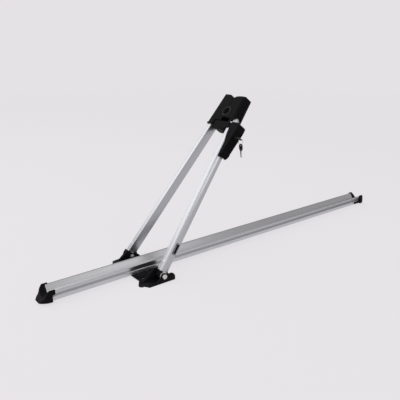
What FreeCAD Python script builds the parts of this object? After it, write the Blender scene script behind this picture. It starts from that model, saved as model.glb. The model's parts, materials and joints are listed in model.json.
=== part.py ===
"""Bike carrier for a car roof: a wheel rail on a bracket, and two leaning arms with a locking frame clamp."""
import FreeCAD, Part
import math
import os

from FreeCAD import Rotation, Vector

os.makedirs("parts", exist_ok=True)

# Rail: an aluminium channel that carries both wheels
rail_length = 1316.0
rail_height = 30.0
rail_base_half = 21.0
rail_base_height = 10.6
rail_lip_half = 26.0
trough_floor = 11.0
trough_half = 14.0
lip_width = 2.8
slot_mouth = 9.0
slot_width = 20.4
slot_lip = 2.2
slot_height = 6.4
chamber_wall = 1.8
chamber_height = 6.8

# End caps: one plastic moulding on each end of the rail
cap_cover = 8.0
cap_length = 42.0
cap_side = 1.5
cap_tip_half = 11.0
cap_under = 1.8
cap_over = 2.5
cap_lobe = 17.0
cap_tongue = 16.0
cap_fit = 0.25
skirt_length = 24.0
skirt_wall = 1.6
cap_screw_radius = 1.7
cap_screw_inset = 9.0
cap_screw_length = 8.6

# Bracket under the rail: a cross plate and a fork at each end of it
plate_length = 91.0
plate_thickness = 4.0
plate_gap = 0.2
flange_thickness = 4.0
flange_gap = 0.75
flange_reach = 14.0
fork_width = 31.0
ear_thickness = 3.0
fork_floor = 5.0
fork_reach_back = 57.0
fork_reach_front = 38.0
fork_corner = 8.0
tongue_reach = 12.0
roof_hole_radius = 4.25
roof_hole_across = 110.0
roof_hole_along = 60.0
fork_screw_radius = 2.5
fork_screw_along = 56.0
slot_screw_radius = 3.0
slot_screw_along = 48.0
slot_nut_length = 16.0
slot_nut_height = 5.0
countersink = 1.0
screw_clearance = 0.2

# Pivots of the arms in the forks
pivot_x = -361.4
pivot_z = 20.2
pivot_bolt_radius = 4.0
pivot_sleeve_radius = 6.0
pivot_head_flats = 13.0
pivot_head_height = 5.3
pivot_nut_height = 6.5
running_fit = 0.05
side_gap = 0.15
washer_thickness = 0.7

# Arms: two D-section aluminium tubes that lean to the front and towards each other
arm_lean = 38.23
arm_offset = 0.4
arm_taper = 0.0932
tube_half = 14.0
tube_inner = 9.5
tube_side = 4.0
tube_outer = 12.0
tube_wall = 1.8
foot_radius = 14.0
foot_shoulder = 10.0
foot_plug_top = 62.0
foot_pin_height = 38.0
foot_pin_radius = 2.5
near_tube_drop = 8.0
near_plug_length = 46.0
far_tube_rise = 17.0
far_plug_length = 24.0
label_width = 14.0
label_shift = 0.5
label_low = 66.0
label_high = 100.0
label_thickness = 0.6

# Clamp head: a cross piece between the arms and two padded jaws, placed from the clamped tube's centre
clamp_z = 528.0
clamp_radius = 12.5
pad_thickness = 4.0
jaw_half = 18.2
jaw_wall = 2.3
jaw_rise = 60.0
jaw_gap = 0.3
jaw_pivot_drop = 25.0
jaw_pin_radius = 3.0
jaw_lug_radius = 5.2
jaw_rim_drop = 22.0
fixed_rim_drop = 50.0
flare = 2.0
saddle_half = 16.0
saddle_drop = 34.0
saddle_depth = 28.0
collar_rise = 11.0
collar_wall = 3.0
collar_clearance = 0.6
saddle_screw_radius = 2.0
saddle_screw_places = (10.0, 22.0)
saddle_screw_sink = 8.0
saddle_screw_grip = 14.0
collar_bolt_drop = 8.0
jaw_bolt_radius = 2.5
jaw_bolt_rise = 5.0
arch_radius = 15.0
arch_x = -2.0
arch_drop = 5.0

# Lever that closes the moving jaw, with its lock and keys
lever_pivot_drop = 39.0
lever_pivot_out = 24.7
lever_pin_radius = 2.5
lever_half = 16.6
lever_wall = 2.1
lever_rise = 8.0
lever_length = 112.0
lever_depth = 15.0
lever_waist = 55.0
lever_heel = 20.0
lever_brow = 19.0
lever_nape = 38.0
cheek_foot = 47.0
cheek_bend = 48.0
cheek_turn = 29.0
cheek_top = 17.0
cheek_reach = 20.8
lever_block_half = 8.0
lever_block_radius = 4.8
block_drop = 15.0
block_screw_radius = 1.5
keeper_half = 5.0
keeper_depth = 10.8
keeper_wall = 1.9
keeper_gap = 0.5
lock_drop = 35.0
barrel_radius = 7.0
barrel_clearance = 3.7
barrel_nut_inset = 4.0
plug_radius = 5.0
plug_step = 0.6
plug_tail = 0.2
cam_thickness = 2.0
cam_reach = 11.6
key_standoff = 2.2
key_blade_length = 21.2
key_half = 3.4
key_thickness = 2.0
key_bow_half = 7.0
key_bow_length = 20.4
key_bow_thickness = 2.4
key_hole_radius = 2.2
key_hole_y = -15.8
ring_wire = 0.8
ring_radius = 8.5
spare_tilt = 6.0

tiny = 0.001


def place_on(axis, level):
    """Give the rule that puts a flat outline square to an axis at a level."""
    rules = {
        "x": lambda u, v: Vector(level, u, v),
        "y": lambda u, v: Vector(u, level, v),
        "z": lambda u, v: Vector(u, v, level),
    }
    return rules[axis]


def wire(items, put):
    """Close an outline: two numbers are a corner, four are an arc through one point to another."""
    here = put(*items[0][-2:])
    edges = []
    for item in items[1:] + [items[0][-2:]]:
        end = put(*item[-2:])
        if len(item) == 4:
            edges.append(Part.Arc(here, put(*item[:2]), end).toShape())
        elif (end - here).Length > tiny:
            edges.append(Part.LineSegment(here, end).toShape())
        here = end
    return Part.Wire(edges)


def prism(items, axis, low, high, shear=None):
    """Extrude an outline from one level to another, square to the axis or along a slant."""
    step = {"x": Vector(1, 0, 0), "y": Vector(0, 1, 0), "z": Vector(0, 0, 1)}[axis] * (high - low)
    if shear is not None:
        step = step + shear * (high - low)
    return Part.Face(wire(items, place_on(axis, low))).extrude(step)


def block(x_low, x_high, y_low, y_high, z_low, z_high):
    """Make a plain block between two corners."""
    low = Vector(min(x_low, x_high), min(y_low, y_high), z_low)
    return Part.makeBox(abs(x_high - x_low), abs(y_high - y_low), z_high - z_low, low)


def rod(radius, start, end):
    """Make a round bar between two points."""
    run = Vector(*end) - Vector(*start)
    return Part.makeCylinder(radius, run.Length, Vector(*start), run)


def taper(radius, end_radius, start, end):
    """Make a cone between two points."""
    run = Vector(*end) - Vector(*start)
    return Part.makeCone(radius, end_radius, run.Length, Vector(*start), run)


def hexagon(flats, start, end):
    """Make a hexagonal bar of a given width across flats between two points."""
    run = Vector(*end) - Vector(*start)
    corner = flats / math.sqrt(3)
    points = [Vector(corner * math.cos(a), corner * math.sin(a), 0) for a in
              [math.radians(60 * i) for i in range(7)]]
    bar = Part.Face(Part.makePolygon(points)).extrude(Vector(0, 0, run.Length))
    bar.Placement = FreeCAD.Placement(Vector(*start), Rotation(Vector(0, 0, 1), run))
    return bar


def mirrored(shape, axis="y"):
    """Mirror a shape across the middle of the carrier."""
    normal = {"x": Vector(1, 0, 0), "y": Vector(0, 1, 0)}[axis]
    return shape.mirror(Vector(0, 0, 0), normal)


def save(name, *solids):
    """Write one piece, or one set of like pieces, to its own file."""
    parts = [solid for shape in solids for solid in shape.removeSplitter().Solids]
    shape = parts[0] if len(parts) == 1 else Part.makeCompound(parts)
    shape.exportStep("parts/%s.step" % name)


def leaned(shape):
    """Put a shape drawn in the upright frame of the arms at their pivots, leaning to the front."""
    moved = shape.copy()
    moved.rotate(Vector(0, 0, 0), Vector(0, 1, 0), arm_lean)
    moved.translate(Vector(pivot_x, 0, pivot_z))
    return moved


# Rail
rail_bottom = flange_thickness + plate_thickness
rail_top = rail_bottom + rail_height
rail_half_length = rail_length / 2
floor_z = rail_bottom + trough_floor
base_z = rail_bottom + rail_base_height


def rail_outline(grow):
    """Give the outer outline of the rail, pushed out all round by a clearance."""
    side = [
        (rail_base_half + grow, rail_bottom - grow),
        (rail_base_half + grow, base_z),
        (rail_base_half - 1.5 + grow, base_z + 1.4),
        (rail_base_half - 0.4 + grow, base_z + 3.0),
        (rail_lip_half - 0.8 + grow, rail_top - 4.0),
        (rail_lip_half + grow, rail_top - 1.8, rail_lip_half - 1.2 + grow, rail_top + grow),
    ]
    other = [
        (-rail_lip_half + 1.2 - grow, rail_top + grow),
        (-rail_lip_half - grow, rail_top - 1.8, -rail_lip_half + 0.8 - grow, rail_top - 4.0),
        (-rail_base_half + 0.4 - grow, base_z + 3.0),
        (-rail_base_half + 1.5 - grow, base_z + 1.4),
        (-rail_base_half - grow, base_z),
        (-rail_base_half - grow, rail_bottom - grow),
    ]
    return side + other


lip_inner = rail_lip_half - lip_width
trough = [
    (-lip_inner, rail_top + 6.0),
    (-lip_inner, rail_top - 1.4),
    (-trough_half, floor_z + 2.4),
    (0, floor_z, trough_half, floor_z + 2.4),
    (lip_inner, rail_top - 1.4),
    (lip_inner, rail_top + 6.0),
]
chamber_inner = slot_width / 2 + chamber_wall
chamber_outer = rail_base_half - chamber_wall
chamber_low = rail_bottom + chamber_wall
chamber_high = chamber_low + chamber_height
slot_low = rail_bottom + slot_lip
slot_high = slot_low + slot_height

rail = prism(rail_outline(0), "x", -rail_half_length, rail_half_length)
hollows = [prism(trough, "x", -rail_half_length - 1, rail_half_length + 1)]
hollows.append(block(-rail_half_length - 1, rail_half_length + 1, -slot_mouth / 2, slot_mouth / 2,
                     rail_bottom - 1, slot_low + 1))
hollows.append(block(-rail_half_length - 1, rail_half_length + 1, -slot_width / 2, slot_width / 2,
                     slot_low, slot_high))
wall_chamber = [
    (trough_half + 2.4, base_z + 3.7),
    (rail_base_half - 2.0, base_z + 3.7),
    (rail_lip_half - 3.9, rail_top - 7.8),
    (rail_lip_half - 4.8, rail_top - 7.8),
]
for side in (-1, 1):
    hollows.append(block(-rail_half_length - 1, rail_half_length + 1, side * chamber_inner,
                         side * chamber_outer, chamber_low, chamber_high))
    hollows.append(prism([(side * y, z) for y, z in wall_chamber], "x",
                         -rail_half_length - 1, rail_half_length + 1))

# End caps, drawn at the +X end
rail_end = rail_half_length
cap_start = rail_end - cap_cover
cap_end = cap_start + cap_length
lobe_x = cap_start + cap_lobe
cap_half = rail_lip_half + cap_side
cap_low = rail_bottom - cap_under
cap_high = rail_top + cap_over
cap_side_view = [
    (cap_start, cap_high - 14.4),
    (cap_start, cap_high - 1.0),
    (cap_start + 1.0, cap_high),
    (lobe_x - 3.0, cap_high),
    (lobe_x + 0.5, cap_high - 1.0, lobe_x + 3.0, cap_high - 4.5),
    (lobe_x + 7.5, cap_high - 10.5, lobe_x + 9.5, cap_high - 16.0),
    (lobe_x + 12.5, cap_low + 12.6, lobe_x + 14.0, cap_low + 11.0),
    (cap_end - 4.0, cap_low + 5.6, cap_end, cap_low + 1.2),
    (cap_end - 1.0, cap_low),
    (rail_end, cap_low),
    (rail_end, cap_high - 14.4),
]
cap_plan = [
    (cap_start - 1, -cap_half),
    (rail_end, -cap_half),
    (cap_end - 21.0, -cap_half + 1.2, cap_end - 12.0, -cap_half + 5.5),
    (cap_end - 5.0, -cap_half + 10.4, cap_end, -cap_tip_half),
    (cap_end + 0.01, 0, cap_end, cap_tip_half),
    (cap_end - 5.0, cap_half - 10.4, cap_end - 12.0, cap_half - 5.5),
    (cap_end - 21.0, cap_half - 1.2, rail_end, cap_half),
    (cap_start - 1, cap_half),
]
tongue_end = rail_end - cap_tongue
cap_screw_x = rail_end - cap_screw_inset
cap = prism(cap_side_view, "y", -cap_half, cap_half)
cap = cap.common(prism(cap_plan, "z", cap_low - 1, cap_high + 1))
cap = cap.cut(prism(trough, "x", cap_start - 1, cap_end + 1))
cap = cap.cut(prism(rail_outline(cap_fit), "x", cap_start - 1, rail_end + 0.01))
cap_screws = []
for side in (-1, 1):
    tongue = block(tongue_end, rail_end + 4, side * (chamber_inner + cap_fit),
                   side * (chamber_outer - cap_fit), chamber_low + cap_fit, chamber_high - cap_fit)
    cap = cap.fuse(tongue)
    screw_y = side * (chamber_inner + chamber_outer) / 2
    screw_foot = (cap_screw_x, screw_y, cap_low)
    screw = rod(cap_screw_radius, screw_foot, (cap_screw_x, screw_y, cap_low + cap_screw_length))
    cap = cap.cut(screw)
    screw = screw.fuse(rod(2 * cap_screw_radius, screw_foot, (cap_screw_x, screw_y, rail_bottom)))
    cap_screws += [screw, mirrored(screw, "x")]
    for end in (-1, 1):
        hollows.append(rod(cap_screw_radius + screw_clearance, (end * cap_screw_x, screw_y, rail_bottom - 1),
                           (end * cap_screw_x, screw_y, chamber_low + 0.5)))
front_cap = cap
for side in (-1, 1):
    skirt = block(cap_start - skirt_length, rail_end + 4, side * (rail_base_half + cap_fit),
                  side * (rail_base_half + cap_fit + skirt_wall), rail_bottom, base_z - 2)
    front_cap = front_cap.fuse(skirt)
save("end_cap_front", front_cap)
save("end_cap_rear", mirrored(cap, "x"))
save("cap_screws", *cap_screws)

save("rail", rail.cut(Part.makeCompound(hollows)))

# Cross plate under the rail
flange_inner = roof_hole_across / 2 + roof_hole_radius + flange_gap
fork_inner = flange_inner + flange_reach
fork_outer = fork_inner + fork_width
fork_screw_across = fork_inner + flange_inner
plate_half = fork_inner - plate_gap
plate_z = flange_thickness
plate_high = pivot_x + fork_reach_front - 2.0
plate_low = plate_high - plate_length
plate_x = (plate_low + plate_high) / 2
plate = block(plate_low, plate_high, -plate_half, plate_half, plate_z, rail_bottom)
fork_screws = []
slot_screws = []
slot_nuts = []


def flat_screw(radius, x, y, head_z, point_z):
    """Make a countersunk screw whose flat head lies at one level and whose point is at another."""
    sign = 1 if point_z > head_z else -1
    shank = rod(radius, (x, y, head_z), (x, y, point_z))
    return shank.fuse(taper(2 * radius, radius, (x, y, head_z), (x, y, head_z + sign * radius)))


def flat_hole(radius, x, y, head_z, sign, depth):
    """Make the matching countersunk hole, open at the head side."""
    hole = radius + screw_clearance
    mouth = (x, y, head_z - sign * countersink)
    cone = taper(hole + radius + countersink, hole, mouth, (x, y, head_z + sign * radius))
    return cone.fuse(rod(hole, mouth, (x, y, head_z + sign * depth)))


for along in (-1, 1):
    x = plate_x + along * slot_screw_along / 2
    plate = plate.cut(flat_hole(slot_screw_radius, x, 0, plate_z + 0.3, 1, plate_thickness))
    slot_screws.append(flat_screw(slot_screw_radius, x, 0, plate_z + 0.3, slot_low + slot_nut_height + 0.6))
    nut = block(x - slot_nut_length / 2, x + slot_nut_length / 2, -slot_width / 2 + 0.3, slot_width / 2 - 0.3,
                slot_low, slot_low + slot_nut_height)
    slot_nuts.append(nut.cut(rod(slot_screw_radius, (x, 0, slot_low - 1), (x, 0, slot_high))))
    for side in (-1, 1):
        x = plate_x + along * roof_hole_along / 2
        y = side * roof_hole_across / 2
        plate = plate.cut(rod(roof_hole_radius, (x, y, plate_z - 1), (x, y, rail_bottom + 1)))
        x = plate_x + along * fork_screw_along / 2
        y = side * fork_screw_across / 2
        plate = plate.cut(flat_hole(fork_screw_radius, x, y, rail_bottom - 0.3, -1, plate_thickness + 1))
        fork_screws.append(flat_screw(fork_screw_radius, x, y, rail_bottom - 0.3, 0.5))
save("cross_plate", plate)
save("fork_screws", *fork_screws)
save("slot_screws", *slot_screws)
save("slot_nuts", *slot_nuts)

# Forks, drawn on the +Y side: a tall inner ear, a low outer ear and a floor with a tongue at the rear
ear_back = pivot_x - fork_reach_back
ear_front = pivot_x + fork_reach_front
inner_ear_view = [
    (ear_back, 0),
    (ear_back, fork_floor),
    (pivot_x - 16.6, pivot_z + 16.8),
    (pivot_x - 14.6, pivot_z + 19.2, pivot_x - 11.6, pivot_z + 19.4),
    (pivot_x + 13.0, pivot_z + 3.8),
    (pivot_x + 27.0, pivot_z - 1.6, pivot_x + 33.0, pivot_z - 9.6),
    (ear_front, 0),
]
outer_ear_view = [
    (ear_back + fork_corner, 0),
    (ear_back + fork_corner, fork_floor),
    (pivot_x - 26.0, fork_floor + 2.0),
    (pivot_x - 9.0, pivot_z + 1.0),
    (pivot_x - 6.4, pivot_z + 6.4, pivot_x, pivot_z + 9.0),
    (pivot_x + 7.6, pivot_z + 6.8, pivot_x + 13.0, pivot_z + 3.4),
    (pivot_x + 19.0, pivot_z + 3.4),
    (pivot_x + 31.0, pivot_z + 1.4, pivot_x + 36.0, pivot_z - 3.6),
    (ear_front, pivot_z - 9.0),
    (ear_front, 0),
]
floor_plan = [
    (ear_back, fork_inner),
    (ear_back, fork_outer - 14.0),
    (ear_back + fork_corner, fork_outer),
    (ear_front, fork_outer),
    (ear_front, fork_inner),
]
tongue_plan = [
    (ear_back + 1.0, flange_inner + 2.0),
    (ear_back - tongue_reach + 3.0, fork_inner),
    (ear_back - tongue_reach, fork_inner + 7.0, ear_back - tongue_reach + 3.0, fork_inner + 14.0),
    (ear_back - tongue_reach + 5.0, fork_inner + 17.0),
    (ear_back + 1.0, fork_inner + 17.0),
]
fork = prism(inner_ear_view, "y", fork_inner, fork_inner + ear_thickness)
fork = fork.fuse(prism(outer_ear_view, "y", fork_outer - ear_thickness, fork_outer))
fork = fork.fuse(prism(floor_plan, "z", 0, fork_floor))
fork = fork.fuse(prism(tongue_plan, "z", 0, plate_z))
fork = fork.fuse(block(ear_back, plate_high, flange_inner, fork_inner + 1, 0, plate_z))
fork = fork.cut(rod(pivot_bolt_radius + 0.2, (pivot_x, fork_inner - 1, pivot_z),
                    (pivot_x, fork_outer + 1, pivot_z)))
for along in (-1, 1):
    x = plate_x + along * fork_screw_along / 2
    y = fork_screw_across / 2
    fork = fork.cut(rod(fork_screw_radius, (x, y, -1), (x, y, plate_z + 1)))
save("fork_far", fork)
save("fork_near", mirrored(fork))

# Pivot bolt, nut, sleeve and washers, drawn on the +Y side
gap_low = fork_inner + ear_thickness
gap_high = fork_outer - ear_thickness
bolt_end = fork_inner - pivot_nut_height - 2.0


def pivot_rod(radius, low, high):
    """Make a round bar on the pivot's axis between two places."""
    return rod(radius, (pivot_x, low, pivot_z), (pivot_x, high, pivot_z))


def pivot_hexagon(low, high):
    """Make a hexagonal bar on the pivot's axis between two places."""
    return hexagon(pivot_head_flats, (pivot_x, low, pivot_z), (pivot_x, high, pivot_z))


bolt = pivot_rod(pivot_bolt_radius, bolt_end, fork_outer)
bolt = bolt.fuse(pivot_hexagon(fork_outer, fork_outer + pivot_head_height))
nut = pivot_hexagon(fork_inner - pivot_nut_height, fork_inner)
nut = nut.cut(pivot_rod(pivot_bolt_radius, bolt_end - 1, fork_inner + 1))
sleeve = pivot_rod(pivot_sleeve_radius, gap_low, gap_high)
sleeve = sleeve.cut(pivot_rod(pivot_bolt_radius + 0.1, gap_low - 1, gap_high + 1))
washers = []
for low in (gap_low, gap_high - washer_thickness):
    disc = pivot_rod(foot_radius - 2.0, low, low + washer_thickness)
    washers.append(disc.cut(pivot_rod(pivot_sleeve_radius + 0.1, low - 1, low + 2)))
save("pivot_bolts", bolt, mirrored(bolt))
save("pivot_nuts", nut, mirrored(nut))
save("pivot_sleeves", sleeve, mirrored(sleeve))
save("pivot_washers", *[piece for disc in washers for piece in (disc, mirrored(disc))])

# Arms, drawn upright with the pivots on the Y axis
arm_spread = (fork_inner + fork_outer) / 2 + arm_offset


def arm_y(z):
    """Give the distance of an arm's centre line from the middle at a height."""
    return arm_spread - arm_taper * z


def tube_section(z, inset):
    """Give the D outline of the far tube at a height, drawn in by a wall."""
    y = arm_y(z)
    half = tube_half - inset
    return [
        (-half, y - tube_inner + inset + 1.5),
        (-half + 0.45, y - tube_inner + inset + 0.45, -half + 1.5, y - tube_inner + inset),
        (half - 1.5, y - tube_inner + inset),
        (half - 0.45, y - tube_inner + inset + 0.45, half, y - tube_inner + inset + 1.5),
        (half, y + tube_side - inset / 2),
        (0, y + tube_outer - inset, -half, y + tube_side - inset / 2),
    ]


def along_arm(z_low, z_high, inset):
    """Extrude the far tube's outline between two heights along its slant."""
    return prism(tube_section(z_low, inset), "z", z_low, z_high, Vector(0, -arm_taper, 0))


def across_pin(radius, half, y, z):
    """Make a round bar along the X axis, as long on one side of the middle as on the other."""
    return rod(radius, (-half, y, z), (half, y, z))


foot_pin_y = arm_y(foot_pin_height)


def arm_tube(top):
    """Make a hollow far tube with the hole for its foot pin."""
    tube = along_arm(foot_shoulder, top, 0).cut(along_arm(foot_shoulder - 1, top + 1, tube_wall))
    return tube.cut(across_pin(foot_pin_radius, tube_half + 1, foot_pin_y, foot_pin_height))


boss_low = gap_low + washer_thickness + side_gap
boss_high = gap_high - washer_thickness - side_gap
foot = rod(foot_radius, (0, boss_low, 0), (0, boss_high, 0))
foot = foot.common(block(-foot_radius, foot_radius, boss_low, boss_high, -foot_radius, foot_shoulder))
foot = foot.fuse(block(-foot_radius, foot_radius, boss_low, boss_high, 0, foot_shoulder))
foot = foot.fuse(along_arm(foot_shoulder - 1, foot_plug_top, tube_wall + 0.1))
foot = foot.cut(rod(pivot_sleeve_radius + running_fit, (0, boss_low - 1, 0), (0, boss_high + 1, 0)))
foot_pin = across_pin(foot_pin_radius, tube_half + 0.2, foot_pin_y, foot_pin_height)
foot = foot.cut(foot_pin)
save("foot_far", leaned(foot))
save("foot_near", leaned(mirrored(foot)))
save("foot_pins", leaned(foot_pin), leaned(mirrored(foot_pin)))

# Places of the clamp head, the lever and the lock, as heights along the upright arms
near_tube_top = clamp_z - near_tube_drop
far_tube_top = clamp_z + far_tube_rise
jaw_top = clamp_z + jaw_rise
jaw_rim = clamp_z - jaw_rim_drop
fixed_rim = clamp_z - fixed_rim_drop
jaw_pivot_z = clamp_z - jaw_pivot_drop
jaw_pivot_y = round(arm_y(jaw_pivot_z), 1)
jaw_bolt_z = clamp_z + jaw_bolt_rise
saddle_top = clamp_z - saddle_drop
saddle_bow = saddle_top - saddle_depth
collar_bolt_z = saddle_top - collar_bolt_drop
collar_bolt_y = arm_y(collar_bolt_z) - 4.1
lever_pivot_z = clamp_z - lever_pivot_drop
lever_pivot_y = round(arm_y(lever_pivot_z) + lever_pivot_out, 1)
lever_top = lever_pivot_z + lever_rise
lever_bottom = lever_top - lever_length
block_low = lever_pivot_z - block_drop
keeper_low = block_low - keeper_depth
inside_tube = arm_y(lever_pivot_z) - 4.3
lock_z = lever_pivot_z - lock_drop
barrel_face = lever_pivot_y + lever_depth - 1.0
barrel_end = arm_y(lock_z) + tube_outer + barrel_clearance
plug_face = barrel_face + plug_step
plug_end = barrel_end - plug_tail
keeper_lip = plug_end + keeper_gap + keeper_wall
key_shoulder = plug_face + key_standoff


# Near tube, its top plug and the name plate
near_tube = mirrored(arm_tube(near_tube_top))
near_tube = near_tube.cut(across_pin(jaw_pin_radius + 0.3, tube_half + 1, -jaw_pivot_y, jaw_pivot_z))
near_plug = mirrored(along_arm(near_tube_top - near_plug_length, near_tube_top, tube_wall + 0.1))
near_plug = near_plug.fuse(mirrored(along_arm(near_tube_top, near_tube_top + 1.6, 0.6)))
near_plug = near_plug.cut(across_pin(jaw_pin_radius + running_fit, tube_half, -jaw_pivot_y, jaw_pivot_z))
label = along_arm(label_low, label_high, -label_thickness).cut(along_arm(label_low - 1, label_high + 1, 0))
label_y = arm_y(label_low)
label = label.common(block(-label_shift - label_width / 2, -label_shift + label_width / 2, label_y - 4,
                           label_y + 20, label_low, label_high))
save("label_plate", leaned(mirrored(label)))

# Far tube and its top plug
far_tube = arm_tube(far_tube_top)
far_plug = along_arm(far_tube_top - far_plug_length, far_tube_top, tube_wall + 0.1)
far_plug = far_plug.fuse(along_arm(far_tube_top, far_tube_top + 2.0, 0.6))
jaw_bolt_y = arm_y(jaw_bolt_z)
jaw_bolt_hole = across_pin(jaw_bolt_radius, jaw_half + 1, jaw_bolt_y, jaw_bolt_z)
far_tube = far_tube.cut(jaw_bolt_hole)
far_plug = far_plug.cut(jaw_bolt_hole)
save("top_plug_far", leaned(far_plug))

# Cross piece between the arms; its near end wraps the inner half of the near tube, and a collar goes on up to
# the moving jaw
collar_edge = arm_y(saddle_top - saddle_depth / 2) + 0.84
saddle_end = arm_y(saddle_top) - tube_inner - side_gap
saddle_bend = saddle_end / 2 + 1.0
saddle = prism([
    (-collar_edge, saddle_top),
    (-collar_edge, saddle_top - 0.5 * saddle_depth),
    (-collar_edge + 2.5, saddle_top - 0.625 * saddle_depth),
    (-collar_edge + 12.0, saddle_bow + 0.31 * saddle_depth),
    (-saddle_bend, saddle_bow + 0.9, 0, saddle_bow),
    (saddle_bend, saddle_bow + 0.9, saddle_end - 1.2, saddle_bow + 0.31 * saddle_depth),
    (saddle_end, saddle_top - 0.64 * saddle_depth),
    (saddle_end, saddle_top),
], "x", -saddle_half, saddle_half)
collar_top = saddle_top + collar_rise
collar_inner = arm_y(collar_top) - tube_inner - collar_wall
collar_outer = jaw_pivot_y - jaw_lug_radius - collar_clearance
collar = block(-saddle_half, saddle_half, -collar_outer, -collar_inner, saddle_top - 1, collar_top)
saddle = saddle.fuse(collar)
saddle = saddle.cut(mirrored(along_arm(saddle_bow - 10, collar_top + 5, -side_gap)))
saddle_screw_seat = saddle_bow + saddle_screw_sink
saddle_screw_tip = saddle_top + saddle_screw_grip
saddle_screws = []
rib_holes = []
for y in saddle_screw_places:
    saddle = saddle.cut(rod(saddle_screw_radius + 0.2, (0, y, saddle_bow - 1), (0, y, saddle_top + 1)))
    saddle = saddle.cut(rod(2 * saddle_screw_radius + 0.2, (0, y, saddle_bow - 1), (0, y, saddle_screw_seat)))
    shank = rod(saddle_screw_radius, (0, y, saddle_screw_seat - 2.6), (0, y, saddle_screw_tip))
    head = rod(2 * saddle_screw_radius, (0, y, saddle_screw_seat - 2.6), (0, y, saddle_screw_seat))
    saddle_screws.append(leaned(shank.fuse(head)))
    rib_holes.append(rod(saddle_screw_radius, (0, y, saddle_top - 1), (0, y, saddle_screw_tip)))
collar_bolt = across_pin(saddle_screw_radius, saddle_half, -collar_bolt_y, collar_bolt_z)
saddle = saddle.cut(collar_bolt)
near_tube = near_tube.cut(collar_bolt)
near_plug = near_plug.cut(collar_bolt)
for end in (-1, 1):
    head = rod(2 * saddle_screw_radius, (end * (saddle_half - 1.6), -collar_bolt_y, collar_bolt_z),
               (end * saddle_half, -collar_bolt_y, collar_bolt_z))
    saddle = saddle.cut(head)
    collar_bolt = collar_bolt.fuse(head)
save("saddle", leaned(saddle))
save("saddle_screws", *saddle_screws)
save("collar_bolt", leaned(collar_bolt))


# Jaws, drawn on the +Y side
crown_y = arm_y(jaw_top)


def jaw_form(rim, inset):
    """Make the outer form of a jaw from its rim up, or its hollow when drawn in by the wall."""
    half = jaw_half - inset
    centre = arm_y(rim) - 0.5
    top = jaw_top - inset
    plan = [(-half, -40), (-half, centre), (0, centre + half, half, centre), (half, -40)]
    end_view = [
        (jaw_gap + inset, rim),
        (jaw_gap + inset, top - 15.0),
        (0.26 * crown_y, top - 7.6, 0.57 * crown_y, top - 2.6),
        (crown_y - 1.0, top - 0.1, crown_y + 9.0, top - 1.6),
        (crown_y + 18.5, top - 8.0, crown_y + 23.0, top - 22.0),
        (crown_y + 29.0, top - 50.0),
        (crown_y + 35.0, rim),
    ]
    side_view = [
        (-half, rim),
        (-half, top - 12.0),
        (-half + 2.6, top - 4.2, -half + 8.5, top),
        (0, top),
        (half - 6.0, top - 4.0, half, top - 15.0),
        (half, rim),
    ]
    form = prism(plan, "z", rim, jaw_top + 5, Vector(0, -arm_taper, 0))
    form = form.common(prism(end_view, "x", -jaw_half - 1, jaw_half + 1))
    return form.common(prism(side_view, "y", -1, crown_y + 45.0))


def jaw_shell(rim):
    """Make a jaw's hollow casing, open below, with the round seat of its pad."""
    seat_radius = clamp_radius + pad_thickness
    axis = (-jaw_half - 2, 0, clamp_z), (jaw_half + 2, 0, clamp_z)
    hollow = jaw_form(rim - 2, jaw_wall).cut(rod(seat_radius + jaw_wall, *axis))
    return jaw_form(rim, 0).cut(rod(seat_radius, *axis)).cut(hollow)


def jaw_pad():
    """Make the rubber half ring that presses on the frame tube."""
    axis = (-jaw_half + 1, 0, clamp_z), (jaw_half - 1, 0, clamp_z)
    ring = rod(clamp_radius + pad_thickness, *axis).cut(rod(clamp_radius, *axis))
    return ring.common(block(-jaw_half, jaw_half, jaw_gap, 40, clamp_z - 30, clamp_z + 30))


fixed_jaw = jaw_shell(fixed_rim)
fixed_inner = saddle_end - 7.2
fixed_centre = arm_y(fixed_rim) - 0.5
fixed_jaw = fixed_jaw.cut(block(-jaw_half - 4, jaw_half + 4, -1, fixed_inner, fixed_rim - 4, saddle_top))
skirt = prism([
    (-jaw_half - flare, fixed_inner),
    (-jaw_half - flare, fixed_centre),
    (0, fixed_centre + jaw_half + flare, jaw_half + flare, fixed_centre),
    (jaw_half + flare, fixed_inner),
], "z", fixed_rim, fixed_rim + 3.0, Vector(0, -arm_taper, 0))
fixed_jaw = fixed_jaw.fuse(skirt.cut(jaw_form(fixed_rim - 2, jaw_wall)))
fixed_jaw = fixed_jaw.cut(block(-saddle_half - cap_fit, saddle_half + cap_fit, -1, saddle_end + 1,
                                fixed_rim - 4, saddle_top))
rib = block(-5, 5, 4, fixed_inner, saddle_top, clamp_z - 6)
fixed_jaw = fixed_jaw.fuse(rib.cut(rod(clamp_radius + pad_thickness, (-9, 0, clamp_z), (9, 0, clamp_z))))
fixed_jaw = fixed_jaw.cut(Part.makeCompound(rib_holes))
jaw_bolt = across_pin(jaw_bolt_radius, jaw_half, jaw_bolt_y, jaw_bolt_z)
for end in (-1, 1):
    boss = rod(2.6 * jaw_bolt_radius, (end * (tube_half + side_gap), jaw_bolt_y, jaw_bolt_z),
               (end * (jaw_half - 0.5), jaw_bolt_y, jaw_bolt_z))
    seat = rod(1.8 * jaw_bolt_radius, (end * (jaw_half - 2.0), jaw_bolt_y, jaw_bolt_z),
               (end * (jaw_half + 1.0), jaw_bolt_y, jaw_bolt_z))
    fixed_jaw = fixed_jaw.fuse(boss).cut(seat)
    jaw_bolt = jaw_bolt.fuse(rod(1.7 * jaw_bolt_radius, (end * (jaw_half - 2.0), jaw_bolt_y, jaw_bolt_z),
                                 (end * jaw_half, jaw_bolt_y, jaw_bolt_z)))
fixed_jaw = fixed_jaw.cut(jaw_bolt_hole)
save("fixed_jaw", leaned(fixed_jaw))
save("fixed_pad", leaned(jaw_pad()))
save("jaw_bolt", leaned(jaw_bolt))
save("arm_far", leaned(far_tube))

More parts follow.
